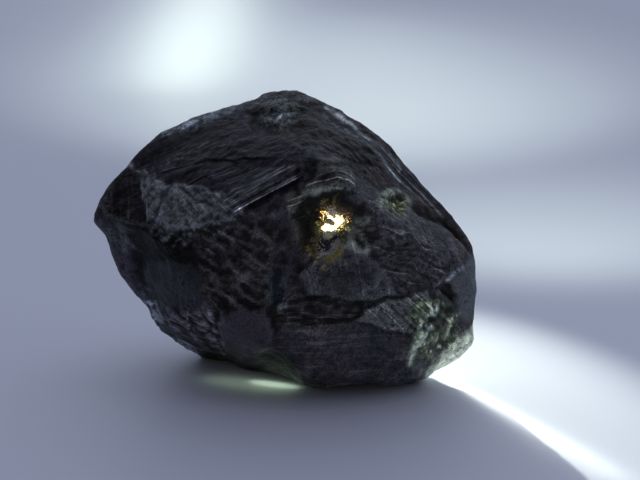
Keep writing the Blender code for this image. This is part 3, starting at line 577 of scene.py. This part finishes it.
# ----------------------------------------
# Right: the stepped shoulder and edge, the pits, the ripples and the comb band
# Growth steps follow the upper right edge, two etch pits sit below it, and the ripples are the mark of a
# fracture that ran through the crystal in waves.
# ----------------------------------------
right_shoulder = patch([(8, 27), (17, 22), (20, 15), (14, 14), (8, 18)], 1.8)
front_height += right_shoulder * 0.5 * layers(v + 0.35 * u, u, 2.1, 97, 0.35)
front_height += right_shoulder * 0.35 * rough_noise(body, 2.4, 3, 98)
edge = patch([(9, 30), (28, 15), (40, 0), (36, -2), (24, 13), (8, 25)], 2.0)
edge_along, edge_across = turned(-45)
edge_steps = layers(edge_across, edge_along, 1.5, 121, 0.35)
front_height += 0.5 * edge * edge_steps
from_pit = np.hypot(u - 23, v - 7)
pit_rim = np.exp(-((from_pit - 3.4) / 0.9) ** 2) * rise(v, 4, 9)
in_pit = 1 - rise(from_pit, 0.8, 3.4)
front_height += 0.3 * pit_rim + in_pit * (0.5 * rough_noise(body, 1.8, 2, 99) - 0.8)
from_small_pit = np.hypot(u - 22.5, v - 0.8)
small_pit_rim = np.exp(-((from_small_pit - 1.2) / 0.4) ** 2)
front_height += 0.2 * small_pit_rim
from_arc = np.abs(np.hypot(u - 25.5, v + 6.5) - 13.2)
arc = np.exp(-(from_arc / 0.9) ** 2) * rise(u, 25, 29) * rise(v, -4, 0)
front_height -= 0.8 * arc
rippled = patch([(16.5, 4), (30, 1), (34, -8), (30, -10.5), (19, -9)], 2.4)
wavy = v + 0.25 * u + 1.6 * noise(body[:, :2] / 7, 101)
curly = v + 0.25 * u + 1.5 * noise(body / 4.2, 105) + 0.5 * noise(body / 2.0, 106)
front_height += rippled * (0.45 * layers(wavy, u, 1.6, 102, 0.45) + 0.3 * layers(curly, u, 1.2, 107, 0.45))
comb_along, comb_across = turned(-42)
comb = patch([(14.5, -16.5), (20, -12.5), (28, -10), (29.5, -12), (27, -19), (21, -18.5)], 1.2)
front_height += comb * (0.5 + 0.3 * layers(comb_across, comb_along, 1.5, 103, 0.35))
notch = patch([(33, -8.3), (36, -10.8), (35.2, -12.2), (31, -9.8)], 1.4)
front_height -= 1.2 * notch

rule(front * right_shoulder, edge_across, edge_along, 0.9, 0.8)
rule(facing * edge, edge_across, edge_along, 0.8, 1.4, 60.0)
rule(front * rippled, curly, u, 0.7, 0.45, 16.0)
rule(front * comb, comb_across, comb_along, 0.75, 0.5, 14.0)
tone(right_shoulder, "#1d1a1a", 0.46)
coat(0.8 * edge, "#25272a", 0.46)
# Painted highlight: the risers of the edge's steps are painted pale, as the light they catch.
tone(0.6 * edge * rise(edge_steps, -0.02, 0.15), "#79838a", 0.46)
tone(in_pit, "#4c5140", 0.5)
tone(0.9 * in_pit * rise(speck, -0.2, 0.3), "#a5b07f", 0.45)
tone(0.7 * pit_rim * rise(fleck, -0.3, 0.3), "#767f70", 0.48)
tone(0.6 * small_pit_rim, "#66676b", 0.48)
tone(arc, "#1c1819", 0.42)
tone(0.7 * rippled, "#403e41", 0.44)
tone(0.8 * comb, "#5b5e5d", 0.48)
tone(0.7 * notch, "#171515", 0.42)
tone(0.6 * seam([(31.5, -10.2), (35.3, -7.4), (39.5, -4.9)], 0.4), "#7d858a", 0.45)
# Painted highlights: pale lines painted along the upper right outline, as the back light catching its ridges.
tone(0.6 * seam([(9, 27.6), (14.3, 24.4), (18.2, 21.3), (22, 17.8), (24.6, 14.9)], 0.35), "#c4d0d4", 0.42)
tone(0.6 * seam([(8, 26.2), (13.2, 23), (17, 19.9), (20.6, 16.6), (24, 12.8)], 0.3), "#7f898e", 0.42)

# ----------------------------------------
# Lower right: the pale corner
# Here the dark inclusions thin out: the skin turns mint and pale green with white streaks, and the very
# corner is clear crystal that the light passes through.
# ----------------------------------------
CLEAR_EDGE = [(30.5, -30.4), (39.8, -22.0)]     # (u, v) of the ends of the clear edge
CLEAR_WIDTH, CLEAR_DEPTH = 3.8, 8.0             # mm that it reaches inward and to the back

corner = patch([(26, -13), (31, -11.5), (36, -14), (36, -23), (27, -23.5), (24.5, -19)], 2.2)
streaks = chips(np.stack([(u + 0.35 * v) / 1.6, v / 3.6], -1), 0.8, 0.5, 112)
front_height += corner * (0.2 + 0.5 * rough_noise(body, 3.5, 3, 111) - 0.55 * streaks
                          + 0.25 * rough_noise(body, 1.3, 2, 113))
side_facet = patch([(35.4, -8.5), (40.6, -2.5), (41, -17), (36.5, -17)], 1.6)
mint = patch([(25, -12.5), (29, -11.2), (35.4, -12.5), (35.4, -22), (29, -25), (25.5, -21.5)], 2.6)
white_streak = np.exp(-((u - 28.6 - 0.36 * (v + 17)) / 1.0) ** 2) * rise(-v, 11.5, 13) \
    * rise(v, -24.5, -22.5)
second_streak = np.exp(-((u - 26.6 - 0.2 * (v + 22)) / 0.7) ** 2) * rise(-v, 18, 20) \
    * rise(v, -27, -24.5)
clear_corner = seam(CLEAR_EDGE, CLEAR_WIDTH) * np.exp(-((w - 1) / CLEAR_DEPTH) ** 2)
clear_corner = rise(clear_corner + 0.15 * fleck, 0.25, 0.60)

coat(0.75 * side_facet, "#51575d", 0.46)
tone(0.9 * mint, "#2a2f27", 0.5)
tone(0.6 * mint * rise(fleck, 0.1, 0.45), "#7d8b70", 0.45)
tone(0.7 * mint * rise(-fleck, 0.15, 0.6), "#2a2d22", 0.5)
tone(0.8 * mint * rise(speck, 0.35, 0.6), "#b5c0a8", 0.42)
tone(0.6 * white_streak * rise(speck, -0.3, 0.3), "#a9b8b0", 0.42)
tone(0.9 * second_streak, "#cfe0c6", 0.42)
coat(0.95 * clear_corner, "#eaf6de", 0.35, 0.50)

# ----------------------------------------
# The back
# The side that faces away has the same skin: broad chips, smaller chips inside them, and belts of growth
# layers. The clear part of the crystal comes out here as a second window.
# ----------------------------------------
belts_along, belts_across = turned(62)
belts_across = belts_across + 0.3 * w
belts = rise(noise(body / 16, 133), -0.1, 0.35)
back_height = 2.0 * (chips(bent / 15.0, 0.9, 0.5, 131) - 0.45)
back_height += 0.45 * (chips(bent / 5.0, 0.8, 0.5, 132) - 0.4)
back_height += 0.5 * belts * layers(belts_across, belts_along, 1.9, 134)

rule(back * belts, belts_across, belts_along, 0.8, 0.4)
coat(0.5 * back * belts, "#2b2a2f", 0.42)
from_rear = np.hypot((u - 9.0) / 0.8, (v - 1.5) / 1.3) + 3.0 * fleck + 1.4 * speck
grain *= 1 - 0.4 * back
coat(0.9 * back * (1 - rise(from_rear, 3.2, 6.0)), "#2c271c", 0.25, 0.75)
coat(back * (1 - rise(from_rear, 2.4, 4.6)), "#a89a70", 0.12, 1.0)

# The front window comes last, over everything else.
tone(0.9 * grey_clear * rise(speck, -0.6, 0.1), "#b2bab0", 0.4, 0.35)
tone(0.9 * scattered * rise(-u, -12.5, -9.5), "#c9b25a", 0.15, 0.68)
tone(sparks, "#86803c", 0.22, 0.46)
tone(sparks * rise(v, 2.0, 5.0), "#96601c", 0.25, 0.42)
tone(through, "#f7f2e4", 0.08, 1.0)
lines[:, 2] -= np.minimum(crossing, lines[:, 2])
calm = np.maximum.reduce([upper_plane, smooth_facet, lobe, 0.5 * plane, 0.5 * bottom, side_facet,
                          0.3 * hollow])
grain *= 1 - 0.4 * facing * calm       # the clean facets are the smoothest parts
grain *= 1 - skin[:, 4]

# ----------------------------------------
# The stone as one mesh, and its material
# Uncut diamond: refractive index 2.417, as hard and glossy as its surface lets it be. The facets shine, the
# etched parts are satin, and in the clear parts light passes through with a faint olive-gold tint.
# ----------------------------------------
relief = height + front * front_height + back * back_height
points = body + hull_normals * relief[:, None]


def blurred(values, times):
    """Each point's value, drawn halfway to the mean of its neighbours', this many times over."""
    ends, others = quads.ravel(), np.roll(quads, -1, axis=1).ravel()
    ends, others = np.concatenate([ends, others]), np.concatenate([others, ends])
    count = np.bincount(ends)
    for _ in range(times):
        values = 0.5 * values + 0.5 * np.bincount(ends, values[others]) / count
    return values


# Painted highlight and shade: each point's height over the blurred relief paints ridges paler and the hollows
# between them darker, standing in for the glints on the edges and the shade in the hollows.
for times, tall, strength in ((6, 0.035, 0.60), (60, 0.22, 0.45)):
    painted_ridge_light = np.tanh((relief - blurred(relief, times)) / tall)
    skin[:, :3] *= (1 + strength * painted_ridge_light * (1 - skin[:, 4]) * (1 - 0.9 * facing * calm))[:, None]
lean = np.radians(LEAN)
stone_points = np.stack([
    points[:, 0],
    points[:, 1] * np.sin(lean) - points[:, 2] * np.cos(lean),
    points[:, 1] * np.cos(lean) + points[:, 2] * np.sin(lean) + FLOOR], -1) * MM
stone_points[:, 2] = np.maximum(stone_points[:, 2], 0)
middle = (stone_points.min(axis=0) + stone_points.max(axis=0)) / 2
cad_middle = (cad_low + cad_high) / 2
low, high = stone_points.min(axis=0), stone_points.max(axis=0)
stone_points = cad_low + (stone_points - low) * (cad_high - cad_low) / (high - low)

mesh = bpy.data.meshes.new("diamond_crystal")
mesh.from_pydata(stone_points, [], quads)
mesh.update()
for name, kind, key, values in (
        ("crystal", "FLOAT_VECTOR", "vector", body),
        ("tint", "FLOAT_COLOR", "color", np.column_stack([skin[:, :3], np.ones(len(body))])),
        ("gloss", "FLOAT", "value", skin[:, 3]),
        ("clearness", "FLOAT", "value", skin[:, 4]),
        ("lines", "FLOAT_VECTOR", "vector", lines),
        ("grain", "FLOAT", "value", grain)):
    layer = mesh.attributes.new(name, kind, "POINT")
    layer.data.foreach_set(key, np.ascontiguousarray(values, np.float32).ravel())
mesh.shade_smooth()
mesh.set_sharp_from_angle(angle=np.radians(38))
stone = bpy.data.objects.new("diamond_crystal", mesh)
bpy.context.scene.collection.objects.link(stone)


def add(tree, kind, settings=(), inputs=(), **links):
    """Add a node. Settings are (name, value) pairs for the node or its sockets. Inputs fill its sockets in
    their order, each with a value or a socket to link. A link's name is a socket's, with _ for a space."""
    node = tree.nodes.new(kind)
    for name, value in settings:
        if name in node.inputs:
            node.inputs[name].default_value = value
        else:
            setattr(node, name, value)
    given = list(zip(node.inputs, inputs)) + [(node.inputs[name.replace("_", " ")], source)
                                              for name, source in links.items()]
    for socket, source in given:
        if isinstance(source, bpy.types.NodeSocket):
            tree.links.new(source, socket)
        else:
            socket.default_value = source
    return node


# How three kinds of node are set: a smooth step from low to high, a product, and a product plus a number.
STEP, TIMES, TIMES_PLUS = ([("interpolation_type", "SMOOTHSTEP")], [("operation", "MULTIPLY")],
                           [("operation", "MULTIPLY_ADD")])
GRAIN, SPECKLE, PITTING = 0.40, 0.38, 1.2    # mm: the etched grain, the colour's specks and the small pits
LINE_DEPTH, GRAIN_DEPTH, PITTING_DEPTH = 0.24, 0.12, 0.26   # mm
IOR = 2.417
SKIN_GLOSS = 0.037          # the specular level: the sooty skin is far duller than clean diamond
CLEAR_TINT, CLEAR_DENSITY = (0.75, 0.78, 0.55, 1.0), 25.0   # what absorption leaves, and how much a metre has

material = bpy.data.materials.new("dark_uncut_diamond")
material.use_nodes = True
tree = material.node_tree
tree.nodes.clear()
place, tint, gloss, clearness, ruled, etched = (
    add(tree, "ShaderNodeAttribute", [("attribute_name", name)])
    for name in ("crystal", "tint", "gloss", "clearness", "lines", "grain"))

# The real growth lines are finer than 0.1 mm in places. They are drawn 0.6 to 0.9 mm apart, with a finer set
# between them, so that they show.
counted = add(tree, "ShaderNodeSeparateXYZ", Vector=ruled.outputs["Vector"])
flat = add(tree, "ShaderNodeCombineXYZ", X=counted.outputs["X"], Y=counted.outputs["Y"])
threads = add(tree, "ShaderNodeTexNoise", [("Scale", 1.4), ("Detail", 1.0), ("Roughness", 0.6)],
              Vector=flat.outputs["Vector"]).outputs["Fac"]
bundles = add(tree, "ShaderNodeTexNoise", [("Scale", 0.35), ("Detail", 1.0)],
              Vector=flat.outputs["Vector"]).outputs["Fac"]
bundles = add(tree, "ShaderNodeMapRange", STEP, (bundles, 0.36, 0.62, 0.15, 1.0)).outputs["Result"]
ridges = add(tree, "ShaderNodeMapRange", STEP, (threads, 0.54, 0.62, 0.0, 1.0)).outputs["Result"]
ridges = add(tree, "ShaderNodeMath", TIMES, (ridges, bundles)).outputs["Value"]
fine = add(tree, "ShaderNodeTexNoise", [("Scale", 1 / GRAIN), ("Detail", 2.0), ("Roughness", 0.6)],
           Vector=place.outputs["Vector"]).outputs["Fac"]
pitting = add(tree, "ShaderNodeTexVoronoi", [("Scale", 1 / PITTING), ("Detail", 1.0), ("Roughness", 0.5)],
              Vector=place.outputs["Vector"]).outputs["Distance"]
specks = add(tree, "ShaderNodeTexNoise", [("Scale", 1 / SPECKLE), ("Detail", 1.0)],
             Vector=place.outputs["Vector"]).outputs["Fac"]

normal = None
for share, uneven, depth in ((counted.outputs["Z"], ridges, LINE_DEPTH),
                             (etched.outputs["Fac"], pitting, PITTING_DEPTH),
                             (etched.outputs["Fac"], fine, GRAIN_DEPTH)):
    bump = add(tree, "ShaderNodeBump", [("Distance", depth * MM)], Height=uneven, Strength=share)
    if normal:
        tree.links.new(normal, bump.inputs["Normal"])
    normal = bump.outputs["Normal"]

# Painted highlight: the edges of the lines are painted up to several times paler than the treads, standing in
# for the glint each one catches. The whole skin is finely specked.
painted_line_glint = add(tree, "ShaderNodeMapRange", STEP, (ridges, 0.0, 0.9, -0.35, 3.6)).outputs["Result"]
painted_line_glint = add(tree, "ShaderNodeMath", TIMES_PLUS, (painted_line_glint, counted.outputs["Z"], 1.0)).outputs["Value"]
speck_tint = add(tree, "ShaderNodeMapRange", STEP, (specks, 0.35, 0.65, -1.0, 1.2)).outputs["Result"]
pitting_tint = add(tree, "ShaderNodeMapRange", STEP, (pitting, 0.2, 0.8, -0.7, 1.1)).outputs["Result"]
both = add(tree, "ShaderNodeMath", [("operation", "ADD")], (speck_tint, pitting_tint)).outputs["Value"]
both = add(tree, "ShaderNodeMath", TIMES_PLUS, (both, etched.outputs["Fac"], 1.0)).outputs["Value"]
colour = add(tree, "ShaderNodeVectorMath", [("operation", "SCALE")], Vector=tint.outputs["Color"],
             Scale=add(tree, "ShaderNodeMath", TIMES, (painted_line_glint, both)).outputs["Value"])
uneven = add(tree, "ShaderNodeMapRange", STEP, (fine, 0.3, 0.7, -0.06, 0.08)).outputs["Result"]
roughness = add(tree, "ShaderNodeMath", TIMES_PLUS, (gloss.outputs["Fac"], 1.0, uneven)).outputs["Value"]
broken = add(tree, "ShaderNodeMapRange", STEP, (specks, 0.25, 0.75, -0.45, 0.45)).outputs["Result"]
broken = add(tree, "ShaderNodeMath", TIMES_PLUS, (clearness.outputs["Fac"], 1.0, broken)).outputs["Value"]
clear = add(tree, "ShaderNodeMapRange", STEP, (broken, 0.46, 0.62, 0.0, 1.0)).outputs["Result"]

shader = add(tree, "ShaderNodeBsdfPrincipled", [("IOR", IOR), ("Specular IOR Level", SKIN_GLOSS)],
             Base_Color=colour.outputs["Vector"], Roughness=roughness, Normal=normal,
             Transmission_Weight=clear)
absorption = add(tree, "ShaderNodeVolumeAbsorption", [("Color", CLEAR_TINT), ("Density", CLEAR_DENSITY)])
add(tree, "ShaderNodeOutputMaterial", [], Surface=shader.outputs["BSDF"], Volume=absorption.outputs["Volume"])
mesh.materials.append(material)

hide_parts("rough_diamond")
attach(stone, "root")

# ----------------------------------------
# The floor
# A sheet of smooth pale card with a cool, faintly violet white. Its satin finish spreads each lamp's light
# into a soft pool.
# ----------------------------------------
FLOOR_HALF = 3.0            # metres

mesh = bpy.data.meshes.new("floor")
mesh.from_pydata([(x * FLOOR_HALF, y * FLOOR_HALF, 0.0) for x, y in ((-1, -1), (1, -1), (1, 1), (-1, 1))], [],
                 [(0, 1, 2, 3)])
floor = bpy.data.objects.new("floor", mesh)
bpy.context.scene.collection.objects.link(floor)
card = bpy.data.materials.new("pale_card")
card.use_nodes = True
shader = card.node_tree.nodes["Principled BSDF"]
shader.inputs["Base Color"].default_value = (*linear("#d6daea"), 1.0)
shader.inputs["Roughness"].default_value = 0.55
mesh.materials.append(card)

# ----------------------------------------
# The light
# A soft studio: a wide bright field low behind the stone, a soft sky over it, and two wide, weak lamps in
# front and at the right. Small lamps make the pools of light behind the stone, the light that shines through
# its window, the glow under it, and the beam and the streak on the floor at its lower right.
# ----------------------------------------
FIELD_MIDDLE = (0.0, 0.94, 0.34)    # the direction of the bright field's middle
SKY_MIDDLE = (0.0, 0.75, 0.66)      # and of the soft sky's
ROOM, SKY, FIELD = (0.031, 0.033, 0.046), (0.515, 0.555, 0.70), (0.20, 0.24, 0.26)    # radiance

world = bpy.data.worlds.new("studio")
bpy.context.scene.world = world
world.use_nodes = True
tree = world.node_tree
tree.nodes.clear()
direction = add(tree, "ShaderNodeTexCoord").outputs["Generated"]
radiance = add(tree, "ShaderNodeRGB").outputs["Color"]
radiance.default_value = (*ROOM, 1.0)
for center, low, high, colour in ((SKY_MIDDLE, 0.15, 1.0, SKY), (FIELD_MIDDLE, 0.55, 0.97, FIELD)):
    toward = add(tree, "ShaderNodeVectorMath", [("operation", "DOT_PRODUCT")], (direction, center))
    share = add(tree, "ShaderNodeMapRange", STEP, (toward.outputs["Value"], low, high, 0.0, 1.0))
    radiance = add(tree, "ShaderNodeMixRGB", [("blend_type", "ADD")],
                   (share.outputs["Result"], radiance, (*colour, 1.0))).outputs["Color"]
background = add(tree, "ShaderNodeBackground", [("Strength", 1.0)], Color=radiance)
add(tree, "ShaderNodeOutputWorld", [], Surface=background.outputs["Background"])


def lamp(name, kind, place, aim, size, watts, colour, cone=None, soft=None):
    """A lamp at a place, turned to its aim, in metres: an oval panel of this length and width, or a spot of
    this width, with a cone in degrees whose soft edge is this share of it."""
    light = bpy.data.lights.new(name, kind)
    if kind == "AREA":
        light.shape, light.size, light.size_y = "ELLIPSE", *size
    else:
        light.shadow_soft_size, light.spot_size, light.spot_blend = size / 2, np.radians(cone), soft
    light.energy, light.color = watts, linear(colour)
    item = bpy.data.objects.new(name, light)
    item.location = place
    item.rotation_euler = (Vector(aim) - Vector(place)).to_track_quat("-Z", "Y").to_euler()
    item.visible_camera = False
    bpy.context.scene.collection.objects.link(item)


lamp("pool_behind", "SPOT", (0.02, 0.02, 0.30), (0.022, 0.33, 0.0), 0.03, 4.2, "#f3ffe6", 40.0, 1.0)
lamp("plume_left", "AREA", (-0.044, 0.560, 0.034), (-0.044, 0.561, 0.0), (0.042, 0.48), 0.074, "#f3ffe6")
lamp("plume_right", "AREA", (0.040, 0.403, 0.060), (0.040, 0.404, 0.0), (0.070, 0.30), 0.022, "#f3ffe6")
lamp("halo_right", "SPOT", (0.05, 0.05, 0.12), (0.072, 0.12, 0.0), 0.03, 0.40, "#f3ffe6", 62.0, 1.0)
lamp("sweep_right", "SPOT", (0.10, 0.02, 0.30), (0.12, 0.09, 0.0), 0.05, 0.12, "#f0fafa", 74.0, 1.0)
lamp("soft_front", "AREA", (-0.12, -0.60, 0.09), (0.0, 0.0, 0.02), (0.30, 0.30), 0.20, "#fff0de")
lamp("soft_right", "AREA", (0.42, -0.06, 0.12), (0.03, 0.0, 0.015), (0.16, 0.16), 0.10, "#f0f6ff")
lamp("window_glow", "SPOT", (0.008, 0.035, 0.0295), (0.008, 0.0, 0.028), 0.017, 0.11, "#fff4e0", 64.0, 1.0)
lamp("glow_under", "AREA", (-0.002, -0.0122, 0.001), (-0.00204, -0.0123, 0.0), (0.011, 0.003), 7e-5,
     "#e4ffd4")
lamp("glow_spill", "AREA", (-0.007, -0.012, 0.003), (-0.00704, -0.0121, 0.0), (0.022, 0.006), 1e-4, "#e4ffd4")
lamp("streak", "AREA", (0.047, -0.0345, 0.0020), (0.04705, -0.0346, 0.0), (0.0026, 0.070), 0.0009, "#fbffee")
lamp("beam", "SPOT", (-0.037, 0.300, 0.150), (0.048, -0.033, 0.0), 0.006, 9.0, "#f8ffee", 13.0, 0.9)

# ----------------------------------------
# The camera
# It looks straight on to the broad front, down by the same angle that the front leans back.
# ----------------------------------------
FRAME = (640, 480)          # pixels
SCALE = 4.8                 # of the frame's pixels to a millimetre at the stone's middle
LENS, SENSOR = 100.0, 36.0  # mm
AIM_PIXEL = (285, 239)      # where the stone's middle lies in the frame

camera_data = bpy.data.cameras.new("camera")
camera_data.lens, camera_data.sensor_width = LENS, SENSOR
camera_data.shift_x = (FRAME[0] / 2 - AIM_PIXEL[0]) / FRAME[0]
camera_data.shift_y = (AIM_PIXEL[1] - FRAME[1] / 2) / FRAME[0]
camera_data.clip_start, camera_data.clip_end = 0.01, 20.0
camera = bpy.data.objects.new("camera", camera_data)
distance = LENS / SENSOR * FRAME[0] / SCALE * MM
stone_middle = Vector((float((cad_middle - middle)[0]), float((cad_middle - middle)[1]), FLOOR * MM))
camera.location = stone_middle + distance * Vector((0, -np.cos(lean), np.sin(lean)))
camera.rotation_euler = (np.pi / 2 - lean, 0, 0)
bpy.context.scene.collection.objects.link(camera)
bpy.context.scene.camera = camera
bpy.context.scene.view_settings.view_transform = "Standard"

# ----------------------------------------
# The end
# ----------------------------------------
bpy.context.view_layer.update()
